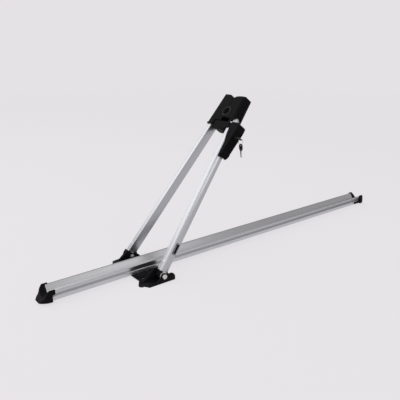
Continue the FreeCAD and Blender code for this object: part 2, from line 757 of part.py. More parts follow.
moving_jaw = jaw_shell(jaw_rim)
arch_z = jaw_rim - arch_drop
arch = rod(arch_radius, (arch_x, jaw_pivot_y + 2, arch_z), (arch_x, jaw_pivot_y + 30, arch_z))
moving_jaw = moving_jaw.cut(arch)
for end in (-1, 1):
    near_face = end * (tube_half + 0.6)
    lug = rod(jaw_lug_radius, (near_face, jaw_pivot_y, jaw_pivot_z),
              (end * jaw_half, jaw_pivot_y, jaw_pivot_z))
    web = block(near_face, end * jaw_half, jaw_pivot_y - jaw_lug_radius, jaw_pivot_y + jaw_lug_radius,
                jaw_pivot_z, jaw_rim + 4)
    web = web.common(jaw_form(jaw_pivot_z - 1, 0))
    moving_jaw = moving_jaw.fuse(lug.fuse(web))
jaw_pin = across_pin(jaw_pin_radius, jaw_half - 0.2, jaw_pivot_y, jaw_pivot_z)
moving_jaw = moving_jaw.cut(across_pin(jaw_pin_radius, jaw_half + 1, jaw_pivot_y, jaw_pivot_z))
save("moving_jaw", leaned(mirrored(moving_jaw)))
save("moving_pad", leaned(mirrored(jaw_pad())))
save("jaw_pin", leaned(mirrored(jaw_pin)))

# Lever block and keeper, fixed on the outside of the near tube
lever_block = prism([
    (-inside_tube, lever_pivot_z + lever_block_radius),
    (-lever_pivot_y, lever_pivot_z + lever_block_radius),
    (-lever_pivot_y, lever_pivot_z - lever_block_radius),
    (-lever_pivot_y + 7.0, lever_pivot_z - 8.0),
    (-lever_pivot_y + 8.5, block_low),
    (-inside_tube, block_low),
], "x", -lever_block_half, lever_block_half)
lever_block = lever_block.fuse(across_pin(lever_block_radius, lever_block_half, -lever_pivot_y,
                                          lever_pivot_z))
lever_block = lever_block.cut(across_pin(lever_pin_radius + running_fit, lever_half, -lever_pivot_y,
                                         lever_pivot_z))
keeper = block(-keeper_half, keeper_half, -keeper_lip, -inside_tube, block_low - 6.2, block_low - 0.2)
keeper = keeper.fuse(block(-keeper_half, keeper_half, -keeper_lip, -keeper_lip + keeper_wall,
                           keeper_low, block_low - 0.2))
tube_clear = mirrored(along_arm(keeper_low - lever_depth, lever_top + lever_rise, 0))
inner_side = block(-lever_half, lever_half, -arm_y(lever_top) + 2, 0, keeper_low - lever_depth,
                   lever_top + lever_rise)
lever_block = lever_block.cut(tube_clear).cut(inner_side)
keeper = keeper.cut(tube_clear).cut(inner_side)
block_screws = []
for z, seat in ((block_low + 4.0, lever_pivot_y - 8.0), (block_low - 3.2, keeper_lip)):
    shank = rod(block_screw_radius, (0, -seat, z), (0, -arm_y(z) + 2.0, z))
    lever_block = lever_block.cut(shank)
    keeper = keeper.cut(shank)
    near_tube = near_tube.cut(shank)
    near_plug = near_plug.cut(shank)
    head = rod(2 * block_screw_radius, (0, -seat - 1.6, z), (0, -seat, z))
    block_screws.append(leaned(shank.fuse(head)))
lever_block = lever_block.cut(rod(2 * block_screw_radius + 0.2, (0, -lever_pivot_y, block_low + 4.0),
                                  (0, -lever_pivot_y + 8.0, block_low + 4.0)))
save("lever_block", leaned(lever_block))
save("lock_keeper", leaned(keeper))
save("block_screws", *block_screws)
save("arm_near", leaned(near_tube))
save("top_plug_near", leaned(near_plug))


# Lever: a channel that stands over the outer side of the near tube
def lever_line(z, out):
    """Give the place of the near tube's outer side at a height, moved outwards."""
    return -(arm_y(z) + tube_outer + out)


def lever_back(inset):
    """Give the outline of the lever's back from its top to its foot, drawn in by a wall."""
    back = -lever_pivot_y - lever_depth + inset
    top = lever_top - inset
    foot = lever_bottom + inset
    return [
        (back + 9.0, top),
        (back + 3.2, top - 2.6, back + 0.8, top - 9.0),
        (back, top - lever_brow),
        (back + 1.4, lever_top - lever_nape, back + 3.6, lever_bottom + lever_waist),
        (back + 6.8, lever_bottom + lever_heel),
        (back + 8.4, foot + 6.0, back + 14.5, foot),
    ]


lever_view = [
    (-lever_pivot_y + 20.0, lever_top - 6.0),
    (-lever_pivot_y + 18.0, lever_top - 1.6, -lever_pivot_y + 14.0, lever_top - 0.2),
    (-lever_pivot_y + 11.0, lever_top),
] + lever_back(0) + [
    (-lever_pivot_y + 3.0, lever_bottom),
    (lever_line(lever_bottom + 5, 0.5), lever_bottom + 5),
    (lever_line(lever_bottom + cheek_foot, 0.5), lever_bottom + cheek_foot),
    (-lever_pivot_y + cheek_reach - 6.4, lever_top - cheek_bend,
     -lever_pivot_y + cheek_reach - 2.4, lever_top - cheek_turn),
    (-lever_pivot_y + cheek_reach, lever_top - cheek_top),
]
inner_view = [(-inside_tube, lever_top - lever_wall)] + lever_back(lever_wall)
inner_view += [(-inside_tube, lever_bottom + lever_wall)]
cheek_inner = lever_half - lever_wall
lever = prism(lever_view, "x", -lever_half, lever_half)
lever = lever.cut(prism(inner_view, "x", -cheek_inner, cheek_inner))
lever = lever.cut(block(-cheek_inner, cheek_inner, -lever_pivot_y + 11.8, -inside_tube,
                        lever_top - 9, lever_top + 1))
lever = lever.cut(block(-lever_block_half - 0.4, lever_block_half + 0.4, -lever_pivot_y - 3.8, -inside_tube,
                        lever_top - 9, lever_top + 1))
barrel_axis = (0, -barrel_face, lock_z), (0, -barrel_end, lock_z)
lever_pin = across_pin(lever_pin_radius, lever_half, -lever_pivot_y, lever_pivot_z)
lever = lever.cut(rod(barrel_radius, *barrel_axis)).cut(lever_pin)
save("lever", leaned(lever))
save("lever_pin", leaned(lever_pin))

# Lock: barrel, its nut, plug and cam
barrel = rod(barrel_radius, *barrel_axis).cut(rod(plug_radius + running_fit, (0, -barrel_face - 1, lock_z),
                                                  (0, -barrel_end + 1, lock_z)))
nut_face = barrel_face - barrel_nut_inset
nut_half = barrel_radius + 1.6
barrel_nut = rod(barrel_radius + 2.6, (0, -nut_face, lock_z), (0, -nut_face + 3.0, lock_z))
barrel_nut = barrel_nut.common(block(-2 * nut_half, 2 * nut_half, -barrel_face, -barrel_end,
                                     lock_z - nut_half, lock_z + nut_half))
barrel_nut = barrel_nut.cut(rod(barrel_radius, *barrel_axis)).cut(lever)
plug = rod(plug_radius, (0, -plug_face, lock_z), (0, -plug_end, lock_z))
slot_end = key_blade_length - key_shoulder + 0.6
plug = plug.cut(block(-key_half - 0.1, key_half + 0.1, -plug_face - 1, slot_end,
                      lock_z - key_thickness / 2 - 0.1, lock_z + key_thickness / 2 + 0.1))
cam = rod(plug_radius, (0, -plug_end, lock_z), (0, -plug_end + cam_thickness, lock_z))
cam = cam.fuse(block(0, cam_reach, -plug_end, -plug_end + cam_thickness, lock_z - 3.4, lock_z + 3.4))
save("lock_barrel", leaned(barrel))
save("barrel_nut", leaned(barrel_nut))
save("lock_plug", leaned(plug))
save("lock_cam", leaned(cam))


# Keys, drawn flat with the blade towards +Y and the shoulder at the origin
def key_blade():
    """Make the steel blade with its cuts and the tang inside the bow."""
    cuts = [(0, -1), (3, -1), (5.0, -2.2), (7.5, -1.2), (10.0, -2.4), (13.0, -1.4), (16.0, -2.2)]
    cuts += [(18.5, -1.2)]
    points = [(-2.2, -4.0), (-2.2, 0), (-key_half, 0)]
    points += [(-key_half, key_blade_length - 2.0), (-key_half + 1.6, key_blade_length)]
    points += [(key_half - 2.4, key_blade_length)]
    points += [(key_half + depth + 1.0, along) for along, depth in reversed(cuts)]
    points += [(2.2, 0), (2.2, -4.0)]
    return prism(points, "z", -key_thickness / 2, key_thickness / 2)


def key_bow():
    """Make the plastic bow, round at its end, with the hole for the ring."""
    round_y = -key_bow_length + key_bow_half
    points = [(-4.6, 0), (-key_bow_half, -6.0), (-key_bow_half, round_y)]
    points += [(0, -key_bow_length, key_bow_half, round_y), (key_bow_half, -6.0), (4.6, 0)]
    bow = prism(points, "z", -key_bow_thickness / 2, key_bow_thickness / 2)
    bow = bow.cut(rod(key_hole_radius, (0, key_hole_y, -5), (0, key_hole_y, 5)))
    return bow.cut(key_blade())


key_place = FreeCAD.Placement(Vector(0, -key_shoulder, lock_z), Rotation())
blade = key_blade()
bow = key_bow()
for piece in (blade, bow):
    piece.Placement = key_place
save("key_blade", leaned(blade))
save("key_bow", leaned(bow))

# Ring through the key's bow, hanging straight down, and the spare key on it
lean = math.radians(arm_lean)
along_front = Vector(math.cos(lean), 0, -math.sin(lean))
along_up = Vector(math.sin(lean), 0, math.cos(lean))
hole_y = -key_shoulder + key_hole_y
hole_centre = Vector(pivot_x, hole_y, pivot_z) + along_up * lock_z
ring_touch = hole_centre + along_front * key_hole_radius + along_up * (key_bow_thickness / 2)
ring_centre = ring_touch - Vector(0, 0, ring_radius - ring_wire + 0.1)
ring = Part.makeTorus(ring_radius, ring_wire, ring_centre, Vector(0, 1, 0))
save("key_ring", ring)
ring_foot = ring_centre - Vector(0, 0, ring_radius)
spare_hole = ring_foot - Vector(0, 0, key_hole_radius - ring_wire - 0.2)
for name, shape in (("spare_key_blade", key_blade()), ("spare_key_bow", key_bow())):
    shape.translate(Vector(0, -key_hole_y, 0))
    shape.rotate(Vector(0, 0, 0), Vector(0, 1, 0), 90)
    shape.rotate(Vector(0, 0, 0), Vector(1, 0, 0), -90)
    shape.translate(spare_hole)
    shape.rotate(ring_foot, Vector(1, 0, 0), -spare_tilt)
    save(name, shape)
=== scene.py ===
import json
import math

import bpy
from mathutils import Matrix, Vector


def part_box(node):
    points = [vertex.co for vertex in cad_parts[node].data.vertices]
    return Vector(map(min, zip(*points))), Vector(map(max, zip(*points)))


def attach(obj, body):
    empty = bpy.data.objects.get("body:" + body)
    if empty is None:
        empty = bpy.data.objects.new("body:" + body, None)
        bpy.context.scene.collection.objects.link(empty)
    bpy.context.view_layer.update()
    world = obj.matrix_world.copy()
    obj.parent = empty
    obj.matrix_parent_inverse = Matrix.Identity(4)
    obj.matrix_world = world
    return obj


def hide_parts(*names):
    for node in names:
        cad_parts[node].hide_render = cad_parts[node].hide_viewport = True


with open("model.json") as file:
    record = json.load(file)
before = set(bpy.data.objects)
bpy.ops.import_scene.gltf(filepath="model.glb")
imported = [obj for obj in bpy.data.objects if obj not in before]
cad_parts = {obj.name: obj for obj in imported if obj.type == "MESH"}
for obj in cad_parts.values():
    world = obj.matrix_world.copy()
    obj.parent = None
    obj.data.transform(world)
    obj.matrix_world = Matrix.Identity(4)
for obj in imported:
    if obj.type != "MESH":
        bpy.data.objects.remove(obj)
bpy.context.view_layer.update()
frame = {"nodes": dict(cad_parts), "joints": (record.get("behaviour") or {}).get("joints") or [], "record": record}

mm = 0.001

# Camera
# It stands at the rear corner of the carrier, a little above it, and looks along the rail to the front.
# The place and the lens are those of the photograph, worked out from the rail, the arms and the clamp.
camera_place = (-1.107, -1.221, 0.687)
camera_azimuth = math.radians(-38.07)
camera_elevation = math.radians(18.18)
camera_data = bpy.data.cameras.new("camera")
camera_data.lens = 47.16
camera_data.sensor_width = 36.0
camera = bpy.data.objects.new("camera", camera_data)
bpy.context.scene.collection.objects.link(camera)
camera.location = camera_place
camera.rotation_euler = (math.pi / 2 - camera_elevation, 0, camera_azimuth)
bpy.context.scene.camera = camera

# Floor and air of the studio
# A wide pale floor that meets a background of the same colour, and keeps a faint shadow of the carrier.
# The same pale colour is what bright metal mirrors.
paper = (0.784, 0.760, 0.784, 1)
shaded_paper = (0.90, 0.87, 0.90, 1)
floor_half = 30.0
fade_start = 1.5
fade_end = 5.0
shadow_share = 0.12
air_colour = (0.95, 0.97, 1.0, 1)
air_strength = 0.55


def feed(tree, node, inputs):
    """Fill inputs of a shader node, each with a value or with another node's output."""
    for key, given in inputs.items():
        if isinstance(given, bpy.types.NodeSocket):
            tree.links.new(given, node.inputs[key])
        else:
            node.inputs[key].default_value = given


def add_node(tree, kind, inputs, **settings):
    """Add a shader node, set it, fill its inputs and give its outputs."""
    node = tree.nodes.new("ShaderNode" + kind)
    for key, value in settings.items():
        setattr(node, key, value)
    feed(tree, node, inputs)
    return node.outputs


bpy.ops.object.select_all(action="DESELECT")
bpy.ops.mesh.primitive_plane_add(size=2 * floor_half, location=(0, 0, 0))
floor = bpy.context.active_object
floor.name = "floor"
floor_paper = bpy.data.materials.new("floor_paper")
floor_paper.use_nodes = True
tree = floor_paper.node_tree
tree.nodes.clear()
place = add_node(tree, "TexCoord", {})
length = add_node(tree, "VectorMath", {0: place["Object"]}, operation="LENGTH")
fade = add_node(tree, "MapRange", {"Value": length["Value"], "From Min": fade_start, "From Max": fade_end,
                                   "To Min": shadow_share, "To Max": 0.0})
glow = add_node(tree, "Emission", {"Color": paper})
matt = add_node(tree, "BsdfDiffuse", {"Color": shaded_paper})
mix = add_node(tree, "MixShader", {"Fac": fade["Result"], 1: glow["Emission"], 2: matt["BSDF"]})
add_node(tree, "OutputMaterial", {"Surface": mix["Shader"]})
floor.data.materials.append(floor_paper)

air = bpy.data.worlds.new("air")
bpy.context.scene.world = air
air.use_nodes = True
tree = air.node_tree
tree.nodes.clear()
rays = add_node(tree, "LightPath", {})
direct = add_node(tree, "Math", {0: rays["Is Camera Ray"], 1: rays["Is Glossy Ray"]}, operation="MAXIMUM")
light = add_node(tree, "Background", {"Color": air_colour, "Strength": air_strength})
seen = add_node(tree, "Background", {"Color": paper})
mix = add_node(tree, "MixShader", {"Fac": direct["Value"], 1: light["Background"], 2: seen["Background"]})
add_node(tree, "OutputWorld", {"Surface": mix["Shader"]})
bpy.context.scene.view_settings.view_transform = "Standard"


def soft_lamp(name, place, aim, width, height, brightness):
    """Hang an oblong soft lamp that looks at a point."""
    data = bpy.data.lights.new(name, "AREA")
    data.shape = "RECTANGLE"
    data.size = width
    data.size_y = height
    data.energy = brightness * math.pi * width * height
    lamp = bpy.data.objects.new(name, data)
    bpy.context.scene.collection.objects.link(lamp)
    lamp.location = place
    lamp.rotation_euler = (Vector(aim) - Vector(place)).to_track_quat("-Z", "Y").to_euler()


soft_lamp("lamp_left", place=(-1.95, 0.7, 2.1), aim=(-0.2, 0, 0.25), width=6.4, height=3.2,
          brightness=1.15)
soft_lamp("lamp_front", place=(0.15, -2.4, 1.7), aim=(-0.3, 0, 0.1), width=2.0, height=1.1,
          brightness=1.4)
soft_lamp("lamp_top", place=(0.3, 0.4, 2.8), aim=(0, 0, 0.1), width=2.4, height=2.4, brightness=0.7)

# Wheel rail
# An extruded aluminium channel, anodised in its natural colour. The tyres stand in its trough, and a slot
# under it takes the nuts that hold the bracket.
rail_colour = (0.57, 0.58, 0.595, 1)
# The next colour is painted shade, mixed in over the trough and along the lips.
painted_shade_rail = (0.37, 0.375, 0.38, 1)
rail_low, rail_high = (Vector(corner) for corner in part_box("rail"))
trough_mouth = 23.4 * mm
trough_floor = rail_low.z + 11.0 * mm
lip_level = rail_high.z - 1.6 * mm
# Edges of the painted shade in the trough and along the lips.
shade_side_fade = 0.8 * mm
shade_rise_fade = 1.0 * mm
shade_under_floor = 0.5 * mm
join_gap = 0.002 * mm
flat_angle = math.radians(0.4)
corner_angle = math.radians(28)
smooth_angle = math.radians(32)


def new_group(name, *levels):
    """Start a group that makes colour, roughness and height from a place, a colour and some levels."""
    group = bpy.data.node_groups.new(name, "ShaderNodeTree")
    inputs = [("Vector", "Vector"), ("Colour", "Color"), *((level, "Float") for level in levels)]
    outputs = [("Colour", "Color"), ("Roughness", "Float"), ("Height", "Float")]
    for direction, sockets in (("INPUT", inputs), ("OUTPUT", outputs)):
        for label, kind in sockets:
            group.interface.new_socket(label, in_out=direction, socket_type="NodeSocket" + kind)
    given = group.nodes.new("NodeGroupInput").outputs
    made = group.nodes.new("NodeGroupOutput")
    return group, given, made


def make_drawn_metal():
    """Fine lines along X from the die, faint cloudy patches, and rubbed spots."""
    group, given, made = new_group("drawn_metal", "Roughness")
    squeeze = add_node(group, "VectorMath", {0: given["Vector"], 1: (3.0, 700.0, 700.0)},
                       operation="MULTIPLY")
    lines = add_node(group, "TexNoise", {"Vector": squeeze["Vector"], "Scale": 1.0, "Detail": 2.0})
    patches = add_node(group, "TexNoise", {"Vector": given["Vector"], "Scale": 9.0, "Detail": 4.0})
    tone = add_node(group, "MapRange", {"Value": lines["Fac"], "To Min": 0.94, "To Max": 1.05})
    cloud = add_node(group, "MapRange", {"Value": patches["Fac"], "To Min": 0.95, "To Max": 1.05})
    both = add_node(group, "Math", {0: tone["Result"], 1: cloud["Result"]}, operation="MULTIPLY")
    shade = add_node(group, "VectorMath", {0: given["Colour"], "Scale": both["Value"]}, operation="SCALE")
    rough = add_node(group, "Math", {0: patches["Fac"], 1: 0.14, 2: given["Roughness"]},
                     operation="MULTIPLY_ADD")
    less = add_node(group, "Math", {0: rough["Value"], 1: 0.07}, operation="SUBTRACT")
    feed(group, made, {"Colour": shade["Vector"], "Roughness": less["Value"], "Height": lines["Fac"]})
    return group


def start_material(name, group, levels, bump, depth, metal=0.0, specular=0.5, turn=0.0):
    """Make a material whose colour, roughness and bump come from a group on Object coordinates."""
    material = bpy.data.materials.new(name)
    material.use_nodes = True
    tree = material.node_tree
    place = add_node(tree, "TexCoord", {})
    mapping = add_node(tree, "Mapping", {"Vector": place["Object"], "Rotation": (0, turn, 0)})
    effect = add_node(tree, "Group", {"Vector": mapping["Vector"], **levels}, node_tree=group)
    relief = add_node(tree, "Bump", {"Height": effect["Height"], "Strength": bump, "Distance": depth})
    feed(tree, tree.nodes["Principled BSDF"],
         {"Base Color": effect["Colour"], "Roughness": effect["Roughness"], "Normal": relief["Normal"],
          "Metallic": metal, "Specular IOR Level": specular})
    return material


drawn_metal = make_drawn_metal()
rail_aluminium = start_material("rail_aluminium", drawn_metal, {"Colour": rail_colour, "Roughness": 0.38},
                                bump=0.06, depth=0.01 * mm, metal=1.0)


def paint_trough_shade(material):
    """Paint shade into the trough and along the tops of the lips: a darker colour there, with uneven strength."""
    tree = material.node_tree
    effect = next(node for node in tree.nodes if node.type == "GROUP")
    place = next(node for node in tree.nodes if node.type == "TEX_COORD").outputs["Object"]
    split = add_node(tree, "SeparateXYZ", {0: place})
    width = add_node(tree, "Math", {0: split["Y"]}, operation="ABSOLUTE")
    inside = add_node(tree, "MapRange", {"Value": width["Value"], "From Min": trough_mouth,
                                         "From Max": trough_mouth - shade_side_fade})
    above = add_node(tree, "MapRange", {"Value": split["Z"],
                                        "From Min": trough_floor - shade_under_floor - shade_rise_fade,
                                        "From Max": trough_floor - shade_under_floor})
    lip = add_node(tree, "MapRange", {"Value": split["Z"], "From Min": lip_level - shade_rise_fade,
                                      "From Max": lip_level})
    trough = add_node(tree, "Math", {0: inside["Result"], 1: above["Result"]}, operation="MULTIPLY")
    shade_mask = add_node(tree, "Math", {0: trough["Value"], 1: lip["Result"]}, operation="MAXIMUM")
    shade_noise = add_node(tree, "TexNoise", {"Vector": place, "Scale": 6.0, "Detail": 5.0})
    uneven = add_node(tree, "MapRange", {"Value": shade_noise["Fac"], "To Min": 0.9, "To Max": 1.08})
    amount = add_node(tree, "Math", {0: shade_mask["Value"], 1: uneven["Result"]}, operation="MULTIPLY")
    colours = add_node(tree, "Mix", {"Factor": amount["Value"], 6: rail_colour, 7: painted_shade_rail},
                       data_type="RGBA")
    feed(tree, effect, {"Colour": colours[2]})


# Painted shade: the trough and the lips of the rail get a darker colour.
paint_trough_shade(rail_aluminium)


def pick(piece):
    """Make one object the only selected and active one."""
    bpy.ops.object.select_all(action="DESELECT")
    piece.select_set(True)
    bpy.context.view_layer.objects.active = piece


def finish_with(piece, kind, **settings):
    """Pick a piece, add a modifier, set it and apply it."""
    pick(piece)
    modifier = piece.modifiers.new(kind.lower(), kind)
    for key, value in settings.items():
        setattr(modifier, key, value)
    bpy.ops.object.modifier_apply(modifier=modifier.name)


def joined_copy(node, name):
    """Copy a construction piece's mesh with its loose triangles joined."""
    source = frame["nodes"][node]
    piece = bpy.data.objects.new(name, source.data.copy())
    bpy.context.scene.collection.objects.link(piece)
    pick(piece)
    bpy.ops.object.mode_set(mode="EDIT")
    bpy.ops.mesh.select_all(action="SELECT")
    bpy.ops.mesh.customdata_custom_splitnormals_clear()
    bpy.ops.mesh.remove_doubles(threshold=join_gap)
    bpy.ops.mesh.dissolve_limited(angle_limit=flat_angle)
    bpy.ops.object.mode_set(mode="OBJECT")
    return piece


def soften(piece, edge, segments=2):
    """Round the sharp edges of a piece and smooth its round sides."""
    finish_with(piece, "BEVEL", width=edge, segments=segments, limit_method="ANGLE",
                angle_limit=corner_angle, use_clamp_overlap=True)
    bpy.ops.object.shade_smooth_by_angle(angle=smooth_angle)
    return piece


def dress(piece, material, body, node):
    """Give a finished piece its material and body, and hide the construction piece it stands for."""
    piece.data.materials.clear()
    piece.data.materials.append(material)
    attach(piece, body)
    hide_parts(node)


def edged(node, name, material, body, edge, segments=2):
    """Round the edges of a cut, drawn or pressed piece."""
    dress(soften(joined_copy(node, name), edge, segments), material, body, node)


edged("rail", "wheel_rail", rail_aluminium, "base", edge=0.35 * mm)

# End caps
# A black plastic moulding is pushed over each end of the rail and screwed to it from below. It closes the
# hollow chambers and carries the trough on to a rounded nose.
cap_colour = (0.0045, 0.0045, 0.005, 1)
mould_smoothing = 0.5
faces_kept = 0.5


def make_moulded_plastic():
    """Fine moulded grain, faint dust and scuffs."""
    group, given, made = new_group("moulded_plastic", "Roughness", "Grain", "Dust")
    grain = add_node(group, "TexVoronoi", {"Vector": given["Vector"], "Scale": given["Grain"]},
                     feature="SMOOTH_F1")
    patches = add_node(group, "TexNoise", {"Vector": given["Vector"], "Scale": 28.0, "Detail": 5.0})
    dust = add_node(group, "MapRange", {"Value": patches["Fac"], "From Min": 0.48, "From Max": 0.75})
    layer = add_node(group, "Math", {0: dust["Result"], 1: given["Dust"]}, operation="MULTIPLY")
    grey = add_node(group, "VectorMath", {0: given["Colour"], 1: layer["Value"]}, operation="ADD")
    rough = add_node(group, "Math", {0: patches["Fac"], 1: 0.16, 2: given["Roughness"]},
                     operation="MULTIPLY_ADD")
    feed(group, made, {"Colour": grey["Vector"], "Roughness": rough["Value"], "Height": grain["Distance"]})
    return group


moulded_plastic = make_moulded_plastic()
cap_plastic = start_material("cap_plastic", moulded_plastic,
                             {"Colour": cap_colour, "Roughness": 0.36, "Grain": 900.0, "Dust": 0.0015},
                             bump=0.10, depth=0.03 * mm, specular=0.04)


def joined(name, pieces):
    """Make several modelled pieces one object."""
    pick(pieces[0])
    for piece in pieces[1:]:
        piece.select_set(True)
    bpy.ops.object.join()
    pieces[0].name = name
    return pieces[0]


def moulded(node, material, body, voxel, passes, added=()):
    """Give a plastic moulding the soft edges that it has from its mould, with what is added melted in."""
    piece = joined_copy(node, node + "_moulding")
    if added:
        joined(piece.name, [piece, *added])
    finish_with(piece, "REMESH", mode="VOXEL", voxel_size=voxel)
    finish_with(piece, "SMOOTH", factor=mould_smoothing, iterations=passes)
    finish_with(piece, "DECIMATE", decimate_type="COLLAPSE", ratio=faces_kept)
    bpy.ops.object.shade_smooth()
    dress(piece, material, body, node)


for node in ("end_cap_front", "end_cap_rear"):
    moulded(node, cap_plastic, "base", voxel=0.6 * mm, passes=6)

# Bracket
# A steel cross plate is held to the rail by nuts in its slot, and carries a two-eared fork on each side.
# Plate and forks are pressed steel with a black powder coat.
coat_colour = (0.005, 0.005, 0.006, 1)
black_coating = start_material("black_coating", moulded_plastic,
                               {"Colour": coat_colour, "Roughness": 0.32, "Grain": 420.0, "Dust": 0.002},
                               bump=0.08, depth=0.05 * mm, specular=0.05)
edged("cross_plate", "bracket_plate", black_coating, "base", edge=0.4 * mm)
for side in ("far", "near"):
    edged("fork_" + side, "bracket_fork_" + side, black_coating, "base", edge=0.7 * mm,
          segments=3)

# Pivot bolts and nuts
# Zinc-plated hexagon bolts are the pivots of the arms. Each goes in from outside its fork and has a nut on
# the inner side. Their corners are turned off at both ends.
zinc_colour = (0.62, 0.62, 0.60, 1)
cool_tint = (0.88, 0.90, 0.96, 1)
warm_tint = (1.0, 0.98, 0.90, 1)
fold = next(joint for joint in frame["joints"] if joint["name"] == "arm_fold")
pivot = Vector(fold["pos_m"])
bolt_radius = 4.0 * mm
bolt_flats = 13.0 * mm
bolt_head_height = 5.3 * mm
bolt_tail = 2.0 * mm
nut_height = 6.5 * mm
bolt_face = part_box("pivot_bolts")[1][1]
nut_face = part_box("pivot_nuts")[1][1]
bolt_seat = bolt_face - bolt_head_height
shank_edge = 0.5 * mm
hexagon_edge = 0.15 * mm
corner_cut = 0.9 * mm
overlap = 1.0 * mm


def make_plated_steel():
    """Cloudy plating with faint yellow and blue tints."""
    group, given, made = new_group("plated_steel", "Roughness")
    cloud = add_node(group, "TexNoise", {"Vector": given["Vector"], "Scale": 260.0, "Detail": 4.0})
    tint = group.nodes.new("ShaderNodeValToRGB")
    tint.color_ramp.elements[0].position = 0.35
    tint.color_ramp.elements[0].color = cool_tint
    tint.color_ramp.elements[1].position = 0.70
    tint.color_ramp.elements[1].color = warm_tint
    feed(group, tint, {"Fac": cloud["Fac"]})
    paint = add_node(group, "VectorMath", {0: tint.outputs["Color"], 1: given["Colour"]},
                     operation="MULTIPLY")
    rough = add_node(group, "Math", {0: cloud["Fac"], 1: 0.15, 2: given["Roughness"]},
                     operation="MULTIPLY_ADD")
    feed(group, made, {"Colour": paint["Vector"], "Roughness": rough["Value"], "Height": cloud["Fac"]})
    return group


plated_steel = make_plated_steel()
zinc_steel = start_material("zinc_steel", plated_steel, {"Colour": zinc_colour, "Roughness": 0.22},
                            bump=0.1, depth=0.02 * mm, metal=1.0)


def turned(name, radius, start, end, sides=64):
    """Turn a round bar, or one of few sides, between two points."""
    start = Vector(start)
    end = Vector(end)
    run = end - start
    bpy.ops.object.select_all(action="DESELECT")
    bpy.ops.mesh.primitive_cylinder_add(vertices=sides, radius=radius, depth=run.length,
                                        location=(start + end) / 2,
                                        rotation=run.to_track_quat("Z", "X").to_euler())
    bpy.ops.object.transform_apply(location=True, rotation=True, scale=True)
    piece = bpy.context.active_object
    piece.name = name
    return piece


def combine(piece, tool, operation):
    """Cut one piece with another, or keep what both share, and clear the tool away."""
    finish_with(piece, "BOOLEAN", operation=operation, object=tool, solver="EXACT")
    bpy.data.objects.remove(tool)
    return piece


def hexagon(name, flats, start, end):
    """Make a hexagon whose corners are turned off at both ends."""
    corner = flats / math.sqrt(3)
    blank = turned(name + "_blank", corner, start, end)
    finish_with(blank, "BEVEL", width=corner_cut, segments=2, limit_method="ANGLE")
    return combine(turned(name, corner, start, end, sides=6), blank, "INTERSECT")


def other_side(piece, name):
    """Copy a piece to the other side of the carrier."""
    copy = bpy.data.objects.new(name, piece.data.copy())
    bpy.context.scene.collection.objects.link(copy)
    copy.data.transform(Matrix.Scale(-1, 4, (0, 1, 0)))
    copy.data.flip_normals()
    return copy


def on_pivot(y):
    """Give a point on the axis of the pivots."""
    return (pivot.x, y, pivot.z)


shank = turned("bolt_shank", bolt_radius, on_pivot(nut_face - nut_height - bolt_tail),
               on_pivot(bolt_seat + overlap))
head = hexagon("bolt_head", bolt_flats, on_pivot(bolt_seat), on_pivot(bolt_face))
bolt = joined("pivot_bolt", [soften(shank, shank_edge), soften(head, hexagon_edge)])
bolts = joined("pivot_bolt_pair", [bolt, other_side(bolt, "bolt_near")])
dress(bolts, zinc_steel, "base", "pivot_bolts")
nut = hexagon("pivot_nut", bolt_flats, on_pivot(nut_face - nut_height), on_pivot(nut_face))
bore = turned("nut_bore", bolt_radius, on_pivot(nut_face - 2 * nut_height), on_pivot(nut_face + overlap))
soften(combine(nut, bore, "DIFFERENCE"), hexagon_edge)
nuts = joined("pivot_nut_pair", [nut, other_side(nut, "nut_near")])
dress(nuts, zinc_steel, "base", "pivot_nuts")

# Screws, sleeves and washers of the bracket
# All are zinc-plated steel. Screws hold the end caps, the forks and the slot nuts, and each foot turns on a
# sleeve between two washers.
for node in ("cap_screws", "fork_screws", "slot_screws", "slot_nuts", "pivot_sleeves", "pivot_washers"):
    edged(node, node + "_set", zinc_steel, "base", edge=0.25 * mm)

# Arms
# Two D-section tubes of anodised aluminium stand in plastic feet on the pivots, and each foot is pinned.
# The tubes lean to the front and towards each other, and a plastic plug closes the top of each.
arm_colour = (0.46, 0.47, 0.485, 1)
plastic_colour = (0.0035, 0.0035, 0.004, 1)
clamp = next(mount for mount in frame["record"]["mounts"] if mount["name"] == "frame_clamp")
lean = math.atan2(clamp["axis"][2], -clamp["axis"][0])
arm_stand = Matrix.Translation(pivot) @ Matrix.Rotation(lean, 4, "Y")
upright = arm_stand.inverted()
arm_round = 16.25 * mm
arm_half = 14.0 * mm
arm_inner = 9.5 * mm
arm_round_place = -4.25 * mm
arm_wall = 1.8 * mm
arm_corner = 1.5 * mm
arm_corner_angle = math.radians(14)
arm_end_edge = 0.3 * mm
arm_taper = 0.0932
arm_spread = 89.9 * mm
arm_low = 10.0 * mm
far_arm_top = 545.0 * mm
near_arm_top = 520.0 * mm
least_facing = 0.98
arm_aluminium = start_material("arm_aluminium", drawn_metal, {"Colour": arm_colour, "Roughness": 0.37},
                               bump=0.06, depth=0.01 * mm, metal=1.0, turn=math.pi / 2 - lean)
black_plastic = start_material("black_plastic", moulded_plastic,
                               {"Colour": plastic_colour, "Roughness": 0.36, "Grain": 900.0,
                                "Dust": 0.0015},
                               bump=0.10, depth=0.03 * mm, specular=0.03)


def cut_flat(piece, place, normal):
    """Slice a piece flat along a plane and close it, away from the normal's side."""
    pick(piece)
    bpy.ops.object.mode_set(mode="EDIT")
    bpy.ops.mesh.select_all(action="SELECT")
    bpy.ops.mesh.bisect(plane_co=place, plane_no=normal, use_fill=True, clear_outer=True)
    bpy.ops.object.mode_set(mode="OBJECT")


def select_facing(piece, direction):
    """Open a piece in edit mode with only its faces square to a direction selected."""
    pick(piece)
    bpy.ops.object.mode_set(mode="EDIT")
    bpy.ops.mesh.select_mode(type="FACE")
    bpy.ops.mesh.select_all(action="DESELECT")
    bpy.ops.object.mode_set(mode="OBJECT")
    for face in piece.data.polygons:
        face.select = abs(face.normal.dot(direction)) > least_facing
    bpy.ops.object.mode_set(mode="EDIT")


